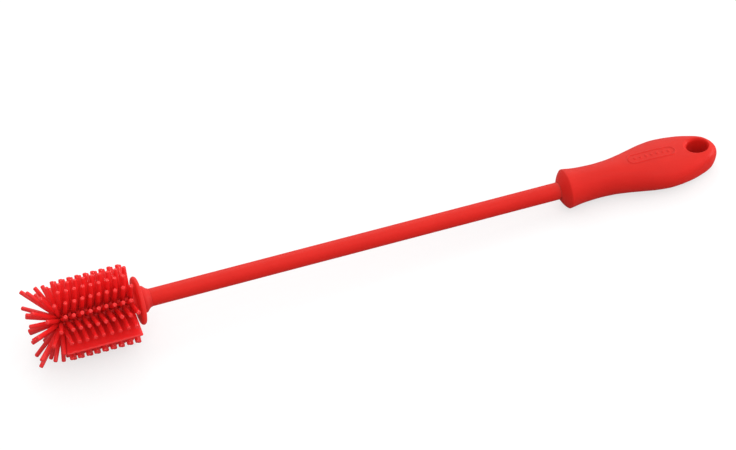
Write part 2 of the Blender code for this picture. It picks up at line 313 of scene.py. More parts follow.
# ================================================================== materials
LIT_SIDE = (0.0, 0.6, 0.8)  # up and away from the camera, where the light comes from; painted shade and glow are set against it
PAINTED_SHEEN_SIDE = (0.0, 0.35, 0.94)  # nearly straight up; faces this way get the painted sheen
MATT_FROM_X = -141.4 * MM
DEEPER_FROM_X = 103.9 * MM


def silicone(
    name, *, deep, pale, hollow_shade, shade_below=None, shade_reach, shade_span, reflection_shade_span, specular,
    roughness, subsurface, depth, grain_scale, grain_height,
):
    """Moulded silicone: light gets a little way in, a fine moulded grain, faint cloudiness
    in colour and gloss, and painted shade: a darker red painted into hollows and between
    bristles where an occlusion node finds them, darker still on sides away from the light,
    with the reflection there cut down.

    deep, pale: the clouded open colour; hollow_shade: the painted shade colour in hollows;
    shade_below: the painted shade colour on sides away from the light. shade_reach: how far
    occlusion looks. shade_span, reflection_shade_span: the spans of openness over which the
    painted shade gives way to the open colour and the reflection comes up. depth: subsurface
    scale.
    """
    material, tree, shader = node_material(name)
    cloud = object_noise(tree, scale=60.0, detail=4.0, roughness=0.6)
    open_colour = colour_mix(tree, ramp(tree, cloud, span=(0.32, 0.68)), deep, pale)
    occlusion = add(tree, "ShaderNodeAmbientOcclusion", samples=6, Distance=shade_reach)
    openness = occlusion.outputs["AO"]
    # painted shade: on sides facing away from the light, the shade in hollows turns to a much
    # darker red
    if shade_below:
        lit = ramp(tree, facing(tree, LIT_SIDE), span=(-0.45, 0.12))
        hollow_shade = colour_mix(tree, lit, shade_below, hollow_shade)
    smear = object_noise(tree, scale=220.0, detail=5.0, roughness=0.65)
    fine = object_noise(tree, scale=grain_scale, detail=2.0, roughness=0.5)
    soft = object_noise(tree, scale=420.0, detail=2.0, roughness=0.5)
    soft_bump = bump(tree, soft, strength=0.35, distance=0.00006)
    # painted shade: where the occlusion node finds little openness, the colour turns to the
    # shade colour and the reflection drops to a tenth
    feed_all(tree, shader, {
        "Base Color": colour_mix(
            tree, ramp(tree, openness, span=shade_span), hollow_shade, open_colour
        ),
        "Specular IOR Level": ramp(
            tree, openness, span=reflection_shade_span, onto=(0.1 * specular, specular)
        ),
        "Roughness": ramp(tree, smear, span=(0.3, 0.7), onto=roughness),
        "Subsurface Weight": subsurface,
        "Subsurface Radius": (1.0, 0.16, 0.12),
        "Subsurface Scale": depth,
        "IOR": 1.41,
        "Normal": bump(
            tree, fine, strength=0.5, distance=grain_height, Normal=soft_bump
        ),
    })
    return material


def matt_collar_and_painted_glow(material, start_x):
    """The collar and boot, from start_x on, are duller than the bristles and get less
    painted shade; the collar's downward side gets a painted glow.
    """
    tree = material.node_tree
    shader = tree.nodes["Principled BSDF"]
    x = x_part(tree, object_coords(tree))
    mask = ramp(tree, x, span=(start_x - 1.0 * MM, start_x + 0.4 * MM))

    # painted shade: the shade colour in hollows shows less here, and the whole is tinted
    shade_mix = shader.inputs["Base Color"].links[0].from_node
    factor = shade_mix.inputs["Factor"]
    least_open = math_node(tree, "MULTIPLY", mask, 0.75)
    feed(tree, factor, math_node(tree, "MAXIMUM", source(factor), least_open))
    tinted = colour_mix(
        tree, mask, shade_mix.outputs["Result"], (0.81, 0.96, 0.78), blend="MULTIPLY"
    )
    feed(tree, shader.inputs["Base Color"], tinted)

    for name, dull_value in (("Roughness", 0.46), ("Specular IOR Level", 0.24)):
        socket = shader.inputs[name]
        duller = add(
            tree, "ShaderNodeMix",
            data_type="FLOAT", A=source(socket), B=dull_value, Factor=mask,
        )
        feed(tree, socket, duller.outputs["Result"])

    # painted glow: the collar is a thin disc, and an emission on the side that faces down
    # stands in for a little light coming through it
    painted_glow = ramp(tree, facing(tree, LIT_SIDE), span=(-0.45, 0.60), onto=(0.15, 0.0))
    disc_end = ramp(
        tree, x, span=(start_x + 3.3 * MM, start_x + 3.9 * MM), onto=(1.0, 0.0)
    )
    disc = math_node(tree, "MULTIPLY", mask, disc_end)
    feed_all(tree, shader, {
        "Emission Color": (0.96, 0.035, 0.030, 1.0),
        "Emission Strength": math_node(tree, "MULTIPLY", disc, painted_glow),
    })


def painted_sheen_and_grip_red(material, grip_x):
    """A painted sheen: upward faces are made paler, less red and more green and blue,
    standing in for light from above; from grip_x on, the red is a little deeper."""
    tree = material.node_tree
    base = tree.nodes["Principled BSDF"].inputs["Base Color"]
    upward = facing(tree, PAINTED_SHEEN_SIDE)
    x = x_part(tree, object_coords(tree))
    # painted sheen: upward faces lose some red and gain green and blue
    red = math_node(
        tree, "MULTIPLY",
        ramp(tree, upward, span=(0.45, 0.95), onto=(1.0, 0.91)),
        ramp(tree, x, span=(grip_x - 0.1 * MM, grip_x + 0.1 * MM), onto=(1.0, 0.955)),
    )
    pale = ramp(tree, upward, span=(0.35, 0.95), onto=(1.0, 1.35))
    tone = add(tree, "ShaderNodeCombineXYZ", X=red, Y=pale, Z=pale).outputs["Vector"]
    tint = add(tree, "ShaderNodeVectorMath", source(base), tone, operation="MULTIPLY")
    feed(tree, base, tint.outputs["Vector"])


def nylon():
    """Natural nylon: off-white, slightly cloudy and speckled."""
    material, tree, shader = node_material("natural_nylon")
    cloud = object_noise(tree, scale=90.0)
    speck = object_noise(tree, scale=900.0, detail=4.0)
    feed_all(tree, shader, {
        "Base Color": colour_mix(
            tree, ramp(tree, cloud, span=(0.35, 0.65)), (0.60, 0.57, 0.49), (0.72, 0.70, 0.63)
        ),
        "Roughness": ramp(tree, speck, span=(0.3, 0.7), onto=(0.38, 0.55)),
        "Subsurface Weight": 0.25,
        "Subsurface Radius": (1.0, 0.9, 0.7),
        "Subsurface Scale": 0.0015,
        "Normal": bump(tree, speck, strength=0.4, distance=0.00003),
    })
    return material


def drawn_steel():
    """Steel with fine drawing lines along X."""
    material, tree, shader = node_material("drawn_steel")
    stretched = add(
        tree, "ShaderNodeMapping", Vector=object_coords(tree), Scale=(30.0, 4000.0, 4000.0)
    )
    texture = add(
        tree, "ShaderNodeTexNoise",
        Vector=stretched.outputs["Vector"], Scale=1.0, Detail=4.0,
    )
    lines = texture.outputs["Fac"]
    feed_all(tree, shader, {
        "Base Color": colour_mix(
            tree, ramp(tree, lines, span=(0.3, 0.7)), (0.50, 0.50, 0.51), (0.66, 0.66, 0.68)
        ),
        "Metallic": 1.0,
        "Roughness": ramp(tree, lines, span=(0.3, 0.7), onto=(0.22, 0.38)),
        "Normal": bump(tree, lines, strength=0.25, distance=0.00001),
    })
    return material


HEAD_RED = silicone(
    "head_silicone",
    deep=(0.93, 0.0240, 0.0245),
    pale=(0.99, 0.0280, 0.0285),
    # painted shade: a darker red for hollows between bristles, and a very dark one for their
    # sides away from the light
    hollow_shade=(0.86, 0.0370, 0.0320),
    shade_below=(0.20, 0.0260, 0.0200),
    shade_reach=0.010,
    shade_span=(0.00, 0.25),
    reflection_shade_span=(0.22, 0.70),
    specular=0.50,
    roughness=(0.12, 0.20),
    subsurface=0.20,
    depth=0.0012,
    grain_scale=2600.0,
    grain_height=0.000008,
)
SKIN_RED = silicone(
    "skin_silicone",
    deep=(0.79, 0.0170, 0.0115),
    pale=(0.83, 0.0190, 0.0125),
    # painted shade: a darker red for hollows such as the hanging hole and the junction with the
    # shaft
    hollow_shade=(0.54, 0.0600, 0.0520),
    shade_reach=0.0055,
    shade_span=(0.30, 0.95),
    reflection_shade_span=(0.30, 0.95),
    specular=0.20,
    roughness=(0.42, 0.52),
    subsurface=0.06,
    depth=0.0010,
    grain_scale=5200.0,
    grain_height=0.000020,
)
matt_collar_and_painted_glow(HEAD_RED, MATT_FROM_X)
painted_sheen_and_grip_red(SKIN_RED, DEEPER_FROM_X)
NYLON = nylon()
STEEL = drawn_steel()


# ================================================================== brush head
HUB_R = 6.2 * MM
DOME_X = -180.7 * MM  # centre of the hub's domed end

ROWS = 18
ROW_STEP = 360.0 / ROWS
BLADE_ROW = 5  # this row is the wiper blade instead of side bristles
PER_ROW = 9
PITCH = 4.47 * MM
X_EVEN = -182.0 * MM
X_ODD = -179.75 * MM

ROOT_R = 5.0 * MM  # how far from the hub's axis the side bristles begin and end
TIP_R = 22.15 * MM
SHORT_ROW = 15.5  # the bristles round here are a little short
SHORTEST_BY = 0.34 * MM

BRISTLE_BASE_R = 1.22 * MM  # buried in the hub
BRISTLE_FOOT_R = 1.30 * MM  # the taper, from just above the fillet to the tip
BRISTLE_TIP_R = 1.18 * MM
BRISTLE_FOOT = 1.2 * MM  # height of the fillet's end above the hub
BRISTLE_RIM = 0.62 * MM  # rounding of the tip
BRISTLE_SWAY = 0.14
TAPER_STEPS = 5
# fillet where a bristle leaves the hub: height above the hub's surface, radius, in mm
FILLET = [(-0.45, 1.30), (-0.02, 1.50), (0.22, 1.40), (0.60, 1.33)]

# rings of nose bristles: first row, root x, root radius, tip x, tip radius, in mm
NOSE_RINGS = [
    (1, -183.0, 5.0, -186.5, 21.35),
    (0, -183.4, 4.5, -191.8, 20.8),
    (1, -183.7, 3.9, -198.7, 20.75),
]
# how single soft tips stray, by (ring, row): along X in mm, outwards in mm, round in rows
STRAY = {
    (0, 1): (0.4, 0.0, 0.0),
    (0, 3): (0.3, 0.0, 0.0),
    (0, 7): (0.6, 0.3, 0.0),
    (1, 14): (1.0, -0.2, 0.0),
    (1, 6): (0.5, 0.0, 0.0),
    (1, 8): (0.4, -0.2, 0.0),
    (1, 10): (0.6, 0.0, 0.0),
    (2, 1): (0.0, 0.0, 0.1),
    (2, 3): (-0.3, 0.0, 0.0),
    (2, 5): (-0.1, 0.6, 0.0),
    (2, 7): (0.1, 0.6, 0.0),
    (2, 9): (0.8, 0.5, -0.07),
    (2, 11): (1.3, 0.0, -0.18),
    (2, 13): (0.0, 0.0, -0.08),
    (2, 15): (-0.2, 0.3, 0.0),
    (2, 17): (1.3, 0.6, 0.0),
}
# the six bristles in the middle of the nose: every third row, and each tip's stray along X
CENTRE_FIRST_ROW = 1.8
CENTRE_ROOT = (-184.2, 2.3)  # x, radius, in mm
CENTRE_TIP = (-199.9, 8.3)
CENTRE_STRAY = (-0.2, 0.0, 0.1, 0.5, 0.4, -0.1)

COLLAR_R = 13.35 * MM
COLLAR_X0 = -140.6 * MM
COLLAR_X1 = -138.0 * MM
COLLAR_RIM_R = (COLLAR_X1 - COLLAR_X0) / 2
COLLAR_FILLET = 1.6 * MM
BOOT_R = 7.5 * MM
BOOT_FILLET = 0.6 * MM
BOOT_END_X = -132.9 * MM
BOOT_LIP = 0.2 * MM
# the boot's rounded shoulder, then a hollow down to the shaft: mm past the collar,
# mm below BOOT_R
BOOT = [
    (0.60, 0.00), (1.40, 0.03), (2.00, 0.16), (2.50, 0.46), (3.00, 0.98),
    (3.50, 1.52), (4.00, 1.93), (4.50, 2.20), (5.00, 2.36),
]
HEAD_BORE_R = 3.9 * MM
HEAD_BORE_X = -179.4 * MM


def along_x(x):
    return Vector((x, 0.0, 0.0))


def radial(row):
    """The outward direction of a row; row 0 is +Z."""
    angle = math.radians(row * ROW_STEP)
    return Vector((0.0, -math.sin(angle), math.cos(angle)))


def at_row(row, x_mm, radius_mm):
    return along_x(x_mm * MM) + radial(row) * radius_mm * MM


def surface_distance(root, along):
    """How far along a bristle its axis leaves the hub."""
    distance = 0.0
    while distance < 12 * MM:
        p = root + along * distance
        if p.x >= DOME_X:
            inside = math.hypot(p.y, p.z) < HUB_R
        else:
            inside = (p - along_x(DOME_X)).length < HUB_R
        if not inside:
            return distance
        distance += 0.05 * MM
    return distance


def bristle_profile(out, length):
    """(distance along the bristle, radius) of a bristle that leaves the hub at out."""
    profile = [(0.0, BRISTLE_BASE_R)]
    profile += [(out + height * MM, radius * MM) for height, radius in FILLET]
    profile.append((out + BRISTLE_FOOT, BRISTLE_FOOT_R))
    for k in range(1, TAPER_STEPS + 1):
        t = k / TAPER_STEPS
        profile.append((
            out + BRISTLE_FOOT + t * (length - BRISTLE_RIM - out - BRISTLE_FOOT),
            BRISTLE_FOOT_R + (BRISTLE_TIP_R - BRISTLE_FOOT_R) * t,
        ))
    # the end: a rounded rim round a shallow dimple
    for degrees in (18, 36, 54, 70, 86, 104):
        angle = math.radians(degrees)
        profile.append((
            length - BRISTLE_RIM + BRISTLE_RIM * math.sin(angle),
            BRISTLE_TIP_R - BRISTLE_RIM + BRISTLE_RIM * math.cos(angle),
        ))
    profile.append((length - 0.15 * MM, 0.24 * MM))
    return profile


def bristle(verts, faces, root, tip, rng, sides):
    """Adds a tapered, very slightly bent bristle with a small fillet at the hub."""
    along = (tip - root).normalized()
    length = (tip - root).length
    across = along.orthogonal().normalized()
    other = along.cross(across)
    sway = across * rng.uniform(-BRISTLE_SWAY, BRISTLE_SWAY) * MM
    sway += other * rng.uniform(-BRISTLE_SWAY, BRISTLE_SWAY) * MM
    out = surface_distance(root, along)
    profile = bristle_profile(out, length)
    start = len(verts)
    for distance, radius in profile:
        t = min(1.0, max(0.0, (distance - out) / max(length - out, 1e-6)))
        centre = root + along * distance + sway * t * t
        for k in range(sides):
            angle = math.tau * k / sides
            verts.append(
                centre
                + across * (radius * math.cos(angle))
                + other * (radius * math.sin(angle))
            )
    for i in range(len(profile) - 1):
        faces += band(start + i * sides, start + (i + 1) * sides, sides)
    faces.append(tuple(start + k for k in reversed(range(sides))))
    last = start + (len(profile) - 1) * sides
    pole = len(verts)
    verts.append(root + along * (length - 0.20 * MM) + sway)
    for k in range(sides):
        faces.append((last + k, last + (k + 1) % sides, pole))


def bristle_group(name, places, rng, sides):
    verts, faces = [], []
    for root, tip in places:
        bristle(verts, faces, root, tip, rng, sides)
    return add_object(name, mesh_from(name, verts, faces))


def side_places(rng):
    """(root, tip) of the side bristles; odd rows are staggered against even ones."""
    places = []
    for first_row, first_x in ((0, X_EVEN), (1, X_ODD)):
        for row in range(first_row, ROWS, 2):
            if row == BLADE_ROW:
                continue
            turn = math.cos(math.radians((row - SHORT_ROW) * ROW_STEP))
            shorter = SHORTEST_BY * max(0.0, turn)
            for k in range(PER_ROW):
                x = first_x + k * PITCH
                lean = rng.uniform(-0.16, 0.16) * MM
                outward = radial(row + rng.uniform(-0.022, 0.022))
                reach = TIP_R - shorter + rng.uniform(-0.05, 0.03) * MM
                places.append((
                    along_x(x) + radial(row) * ROOT_R,
                    along_x(x + lean) + outward * reach,
                ))
    return places


def nose_places(rng, ring):
    first_row, root_x, root_r, tip_x, tip_r = NOSE_RINGS[ring]
    places = []
    for row in range(first_row, ROWS, 2):
        # drawn for every bristle, used only by those without a stray of their own
        usual = (rng.uniform(-0.15, 0.15), 0.0, 0.0)
        along, outwards, turn = STRAY.get((ring, row), usual)
        places.append((
            at_row(row, root_x, root_r),
            at_row(row + turn, tip_x + along, tip_r + outwards),
        ))
    return places


def centre_places():
    places = []
    tip_x, tip_r = CENTRE_TIP
    for k, stray in enumerate(CENTRE_STRAY):
        row = CENTRE_FIRST_ROW + 3 * k
        places.append((at_row(row, *CENTRE_ROOT), at_row(row, tip_x + stray, tip_r)))
    return places


def hub_profile():
    """Hub, collar, boot and the bore back inside, as (x, radius)."""
    profile = []
    for degrees in range(0, 91, 9):
        angle = math.radians(degrees)
        profile.append((DOME_X - HUB_R * math.cos(angle), HUB_R * math.sin(angle)))
    profile += [(DOME_X + k * 4.0 * MM, HUB_R) for k in range(1, 10)]
    # fillet up to the collar
    for degrees in range(0, 91, 15):
        angle = math.radians(degrees)
        profile.append((
            COLLAR_X0 - COLLAR_FILLET * (1 - math.sin(angle)),
            HUB_R + COLLAR_FILLET * (1 - math.cos(angle)),
        ))
    # the collar with its rounded rim
    profile.append((COLLAR_X0, COLLAR_R - 2.4 * MM))
    for degrees in range(0, 181, 15):
        angle = math.radians(degrees)
        profile.append((
            (COLLAR_X0 + COLLAR_X1) / 2 - COLLAR_RIM_R * math.cos(angle),
            COLLAR_R - COLLAR_RIM_R + COLLAR_RIM_R * math.sin(angle),
        ))
    profile.append((COLLAR_X1, BOOT_R + 1.2 * MM))
    # fillet down to the boot, then the boot's own curve
    for degrees in range(0, 91, 15):
        angle = math.radians(degrees)
        profile.append((
            COLLAR_X1 + BOOT_FILLET * (1 - math.cos(angle)),
            BOOT_R + BOOT_FILLET * (1 - math.sin(angle)),
        ))
    for k in range(2, 41):
        past = 0.6 + 4.4 * k / 40
        profile.append((COLLAR_X1 + past * MM, BOOT_R - curve_at(BOOT, 1, past) * MM))
    # round the boot's end and back along the bore to its closed, bevelled end
    return profile + [
        (BOOT_END_X + BOOT_LIP, SHAFT_R + 0.06 * MM),
        (BOOT_END_X + BOOT_LIP, HEAD_BORE_R + BOOT_LIP),
        (BOOT_END_X, HEAD_BORE_R),
        (HEAD_BORE_X + 1.4 * MM, HEAD_BORE_R),
        (HEAD_BORE_X + 0.4 * MM, HEAD_BORE_R - 0.4 * MM),
        (HEAD_BORE_X, HEAD_BORE_R - 1.4 * MM),
        (HEAD_BORE_X, 0.0),
    ]


def build_head():
    rng = random.Random(11)
    sides = 10 if QUICK else 14
    moulding = add_object("brush_head_moulding", revolved("hub", hub_profile(), 72))
    # all places are drawn before the first bristle is, which draws its own sway
    groups = [("side_bristles", side_places(rng))]
    groups += [(f"nose_{ring}", nose_places(rng, ring)) for ring in range(len(NOSE_RINGS))]
    groups.append(("nose_centre", centre_places()))
    bristles = [bristle_group(name, places, rng, sides) for name, places in groups]
    return apply_booleans(moulding, "UNION", bristles)


head = build_head()
dress(head, HEAD_RED, sharp_degrees=50)
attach(head, "head")
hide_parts("brush_head")


# ================================================================== wiper blade
# in mm, drawn in X and distance from the hub's axis
BLADE_REAR_X = -143.0
BLADE_TOP = 22.0
BLADE_CORNER = 0.75
BLADE_EDGE = 0.7  # width of the rounding along the free edges
BLADE_FRONT_X = -185.1  # at the top; the front edge slopes back towards the root
BLADE_SLOPE = 3.6
BLADE_SLOPE_FOOT = 6.5
BLADE_EDGE_STEPS = [0.0, 0.03, 0.1, 0.2, 0.34, 0.5, 0.7]
# radius, half thickness: the fillet at the root, the thinning fin, the rounded top
BLADE_HEIGHTS = [
    (5.75, 1.02), (6.25, 0.98), (6.6, 0.88), (7.2, 0.82),
    *((8.0 + k * 1.3, 0.805 - 0.011 * k) for k in range(10)),
    (20.6, 0.69), (21.2, 0.68), (21.5, 0.64), (21.7, 0.56), (21.85, 0.45),
    (21.94, 0.32), (21.99, 0.16),
]


def blade_outline(radius):
    """The blade's lowest and highest x at a radius, with the top corners rounded."""
    front = BLADE_FRONT_X
    front += BLADE_SLOPE * (BLADE_TOP - radius) / (BLADE_TOP - BLADE_SLOPE_FOOT)
    up = max(0.0, radius - (BLADE_TOP - BLADE_CORNER))
    inset = BLADE_CORNER - math.sqrt(max(0.0, BLADE_CORNER**2 - up**2))
    return front + inset, BLADE_REAR_X - inset


def build_blade():
    """A fin that thins outwards, with rounded free edges and a fillet at its root."""
    verts, faces, grids = [], [], []
    for sign in (1, -1):
        grid = []
        for radius, half in BLADE_HEIGHTS:
            low, high = blade_outline(radius)
            xs = [low + step for step in BLADE_EDGE_STEPS]
            xs += [low + 1.0 + (high - low - 2.0) * k / 40 for k in range(41)]
            xs += [high - step for step in reversed(BLADE_EDGE_STEPS)]
            line = []
            for x in xs:
                share = min(1.0, min(x - low, high - x) / BLADE_EDGE)
                thin = half * math.sqrt(max(0.0, 1 - (1 - share) ** 2))
                line.append(len(verts))
                verts.append(Vector((x * MM, -sign * max(thin, 0.004) * MM, radius * MM)))
            grid.append(line)
        grids.append(grid)
    one, two = grids
    rows, columns = len(one), len(one[0])
    for i in range(rows - 1):
        for c in range(columns - 1):
            faces.append((one[i][c], one[i][c + 1], one[i + 1][c + 1], one[i + 1][c]))
            faces.append((two[i][c], two[i + 1][c], two[i + 1][c + 1], two[i][c + 1]))
    # strips that close the root, the top and both ends
    for i in (0, rows - 1):
        for c in range(columns - 1):
            quad = (one[i][c], two[i][c], two[i][c + 1], one[i][c + 1])
            faces.append(quad if i == 0 else tuple(reversed(quad)))
    for c in (0, columns - 1):
        for i in range(rows - 1):
            faces.append((one[i][c], one[i + 1][c], two[i + 1][c], two[i][c]))
    turn = Matrix.Rotation(math.radians(BLADE_ROW * ROW_STEP), 3, "X")
    mesh = mesh_from("wiper_blade_fin", [turn @ v for v in verts], faces)
    return add_object("wiper_blade_fin", mesh)


blade = build_blade()
dress(blade, HEAD_RED, sharp_degrees=50)
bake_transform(blade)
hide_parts("wiper_blade")


# ================================================================== shaft skin
SLEEVE_STEPS = 64
SLEEVE_LENGTHS = 120
SLEEVE_LEAD = 0.22 * MM  # from the sleeve's start to the first even ring
SEAM_HEIGHT = 0.035 * MM  # parting lines of the mould, along the +Y and -Y sides
SEAM_WIDTH = 0.055  # radians
SLEEVE_WAVER = 0.012 * MM


def sleeve_ring(x, radius, outside=True):
    ring = []
    for k in range(SLEEVE_STEPS):
        angle = math.tau * k / SLEEVE_STEPS
        reach = radius
        if outside:
            from_seam = min(abs(angle - math.pi / 2), abs(angle - 3 * math.pi / 2))
            place = Vector((x * 45, math.cos(angle) * 0.8, math.sin(angle) * 0.8))
            reach += SEAM_HEIGHT * math.exp(-((from_seam / SEAM_WIDTH) ** 2))
            reach += SLEEVE_WAVER * noise.noise(place)
        ring.append((x, -reach * math.sin(angle), reach * math.cos(angle)))
    return ring


def build_sleeve():
    """A tube from the head's boot to the grip."""
    x0, x1 = SLEEVE_LO.x, SLEEVE_HI.x
    rings = [
        sleeve_ring(x0 - 0.04 * MM, ROD_BORE_R, outside=False),
        sleeve_ring(x0 - 0.04 * MM, SHAFT_R - 0.06 * MM),
        sleeve_ring(x0 + 0.02 * MM, SHAFT_R),
    ]
    for k in range(SLEEVE_LENGTHS):
        x = x0 + SLEEVE_LEAD + (x1 - x0 - SLEEVE_LEAD) * k / SLEEVE_LENGTHS
        rings.append(sleeve_ring(x, SHAFT_R))
    rings.append(sleeve_ring(x1, SHAFT_R))
    rings.append(sleeve_ring(x1, ROD_BORE_R, outside=False))
    verts = [point for ring in rings for point in ring]
    faces = []
    for i in range(len(rings)):
        following = (i + 1) % len(rings)
        faces += band(i * SLEEVE_STEPS, following * SLEEVE_STEPS, SLEEVE_STEPS)
    return add_object("shaft_skin", mesh_from("shaft_skin", verts, faces))


sleeve = build_sleeve()
dress(sleeve, SKIN_RED, sharp_degrees=50)
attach(sleeve, "handle_and_shaft")
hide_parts("shaft_sleeve")


# ================================================================== handle grip
# sections, in mm: x, half width in Y, half height in Z, superellipse exponent
GRIP = [
    (104.20, 5.4, 5.4, 2.0),
    (104.70, 6.2, 6.2, 2.0),
    (105.60, 7.85, 7.85, 2.0),
    (106.60, 9.4, 9.4, 2.0),
    (107.40, 10.35, 10.35, 2.0),
    (108.00, 10.98, 10.98, 2.0),
    (108.30, 11.2, 11.2, 2.0),
    (108.60, 11.23, 11.23, 2.0),
    (109.40, 11.12, 11.12, 2.0),
    (110.60, 10.95, 10.95, 2.0),
    (114.0, 10.4, 10.4, 2.0),
    (119.0, 9.95, 9.95, 2.0),
    (127.0, 9.7, 9.65, 2.0),
    (134.0, 10.15, 9.7, 2.0),
    (142.7, 11.8, 9.7, 2.05),
    (150.7, 14.0, 9.6, 2.1),
    (158.7, 16.0, 9.5, 2.15),
    (166.3, 16.9, 9.2, 2.25),
    (172.0, 16.4, 8.7, 2.45),
    (177.0, 15.5, 8.4, 2.6),
    (182.0, 14.1, 8.05, 2.9),
    (186.0, 12.6, 7.9, 3.0),
    (190.0, 10.95, 7.8, 3.0),
    (193.8, 9.0, 7.4, 2.8),
    (196.8, 6.45, 6.25, 2.4),
    (198.8, 3.9, 4.2, 2.2),
    (199.7, 2.1, 2.4, 2.0),
    (200.0, 0.4, 0.4, 2.0),
]
# x of the grip's closely spaced first rings, in mm
GRIP_MOUTH_STATIONS = [
    104.2, 104.4, 104.7, 105.1, 105.6, 106.0, 106.4, 106.8, 107.1, 107.4, 107.7,
    108.0, 108.12, 108.22, 108.3, 108.44, 108.6, 108.9, 109.4, 110.0, 110.6, 111.2,
]
GRIP_END_X = 200.0
GRIP_ROUND_X = 193.8  # from here the rings close up towards the end
GRIP_ROUND = 6.2

EMBLEM_X = (145.8, 174.2)
EMBLEM_HALF = 3.3  # from the middle to the outline's centre line
EMBLEM_LINE = 0.36  # half the outline's width
EMBLEM_EDGE = 0.36  # width of the soft step up
EMBLEM_HEIGHT = 0.42
DOTS = 7
DOT_PITCH = 3.4
DOT_R = 0.8

CAVITY_X = (109.5, 178.3)
CAVITY_STEPS = 64
CAVITY_WALL = 2.2
# the cavity's rounded end: mm short of its last x, mm further in than the wall
CAVITY_END = [(3.2, 0.5), (1.3, 1.6), (0.3, 3.0), (0.0, 4.2)]

# the shaft's way in: x, radius, in mm
SHAFT_BORE = [
    (100, 0), (100, 5.6), (104.19, 5.03), (104.34, 4.95), (112, 4.95), (112, 0),
]

HOLE_X = 188.2 * MM
HOLE_LONG = 1.1 * MM  # how much further the hole reaches along X, near its middle plane


def emblem(x, y):
    """Height of the raised emblem at x, y in mm: a rounded outline round a row of dots."""
    middle = (EMBLEM_X[0] + EMBLEM_X[1]) / 2
    straight = (EMBLEM_X[1] - EMBLEM_X[0]) / 2 - EMBLEM_HALF
    from_spine = math.hypot(max(abs(x - middle) - straight, 0.0), y)
    nearest = abs(from_spine - EMBLEM_HALF) - EMBLEM_LINE
    for k in range(DOTS):
        dot_x = middle + (k - (DOTS - 1) / 2) * DOT_PITCH
        nearest = min(nearest, math.hypot(x - dot_x, y) - DOT_R)
    t = max(0.0, min(1.0, 0.5 - nearest / EMBLEM_EDGE))
    return EMBLEM_HEIGHT * t * t * (3 - 2 * t)


def grip_ring(x, angles, inset=0.0):
    """The grip's section at x, drawn in by inset, all in mm."""
    half_y = curve_at(GRIP, 1, x, square=True)
    half_z = curve_at(GRIP, 2, x, square=True)
    power = 2 / curve_at(GRIP, 3, x)
    half_y -= inset * min(1.0, half_y / 4)
    half_z -= inset * min(1.0, half_z / 4)
    ring = []
    for angle in angles:
        c, s = math.cos(angle), math.sin(angle)
        y = half_y * math.copysign(abs(c) ** power, c)
        z = half_z * math.copysign(abs(s) ** power, s)
        ring.append((x, y, z))
    return ring


def grip_angles():
    """Once round from -Z, closer together across the emblem."""
    fine = 1.6 if QUICK else 0.8
    angles = []
    degrees = -90.0
    while degrees < 270.0 - 1e-6:
        angles.append(math.radians(degrees))
        degrees += fine if 71.9 <= degrees < 108.0 else 2.25
    return angles


def grip_stations():
    """x of every ring, closer together along the emblem and round the end."""
    fine = 0.4 if QUICK else 0.22
    stations = list(GRIP_MOUTH_STATIONS)
    x = 111.9
    while x < GRIP_ROUND_X:
        stations.append(x)
        x += fine if 144.8 <= x <= 175.2 else 0.85
    for degrees in range(0, 88, 4):
        stations.append(GRIP_END_X - GRIP_ROUND * (1 - math.sin(math.radians(degrees))))
    return stations + [199.995, GRIP_END_X]


def build_cavity():
    """Room inside the grip for the nylon core."""
    x0, x1 = CAVITY_X
    angles = [math.tau * k / CAVITY_STEPS for k in range(CAVITY_STEPS)]
    stations = [(x0 + (x1 - 5 - x0) * k / 60, 0.0) for k in range(61)]
    stations += [(x1 - short, further) for short, further in CAVITY_END]
    rings = [grip_ring(x, angles, CAVITY_WALL + further) for x, further in stations]
    return add_object("cavity", lofted("cavity", rings))


def build_hole():
    """The hole through the grip along Z, flared at both mouths and longer in X."""
    mouth = [(-9.9, 8.8)]
    for degrees in (82, 72, 62, 52, 42, 32, 22, 11, 0):
        angle = math.radians(degrees)
        mouth.append((-5.1 - 2.6 * math.sin(angle), 5.2 + 1.95 * (1 - math.cos(angle))))
    mouth += [(-z, radius) for z, radius in reversed(mouth)]
    mouth = [(mouth[0][0], 0.0)] + mouth + [(mouth[-1][0], 0.0)]
    profile = [(z * MM, radius * MM) for z, radius in mouth]
    hole = add_object("hole", revolved("hole", profile, 96, upright=True))
    for vertex in hole.data.vertices:
        radius = math.hypot(vertex.co.x, vertex.co.y)
        if radius > 1e-6:
            vertex.co.x *= (radius + HOLE_LONG) / radius
    hole.location.x = HOLE_X
    return hole


def build_grip():
    angles = grip_angles()
    rings = []
    for station in grip_stations():
        ring = grip_ring(station, angles)
        rings.append([(x, y, z + emblem(x, y) if z > 0 else z) for x, y, z in ring])
    skin = add_object("handle_grip_skin", lofted("handle_grip_skin", rings))
    cavity = build_cavity()
    bore_profile = [(x * MM, radius * MM) for x, radius in SHAFT_BORE]
    bore = add_object("bore", revolved("bore", bore_profile, 64))
    return apply_booleans(skin, "DIFFERENCE", [cavity, bore, build_hole()])


grip = build_grip()
dress(grip, SKIN_RED, sharp_degrees=38)
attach(grip, "handle_and_shaft")
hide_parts("handle_grip")


# ================================================================== plug, rod and core
PLUG_BODY_R = 3.1 * MM
PLUG_ROUND = 1.0 * MM
PLUG_BORE_END_X = -175.3 * MM
BARBS = 5
BARB_FIRST = 5.0 * MM
BARB_PITCH = 7.2 * MM
# one barb: mm along it, the radius it starts from, mm added to that radius
BARB = [
    (0.0, PLUG_BODY_R, 0.0),
    (0.4, PLUG_BODY_R, 0.03),
    (3.1, BARB_R, -0.03),
    (3.3, BARB_R, 0.0),
    (3.75, BARB_R, 0.0),
    (3.85, BARB_R, -0.06),
    (4.0, PLUG_BODY_R, 0.05),
    (4.1, PLUG_BODY_R, 0.0),
]


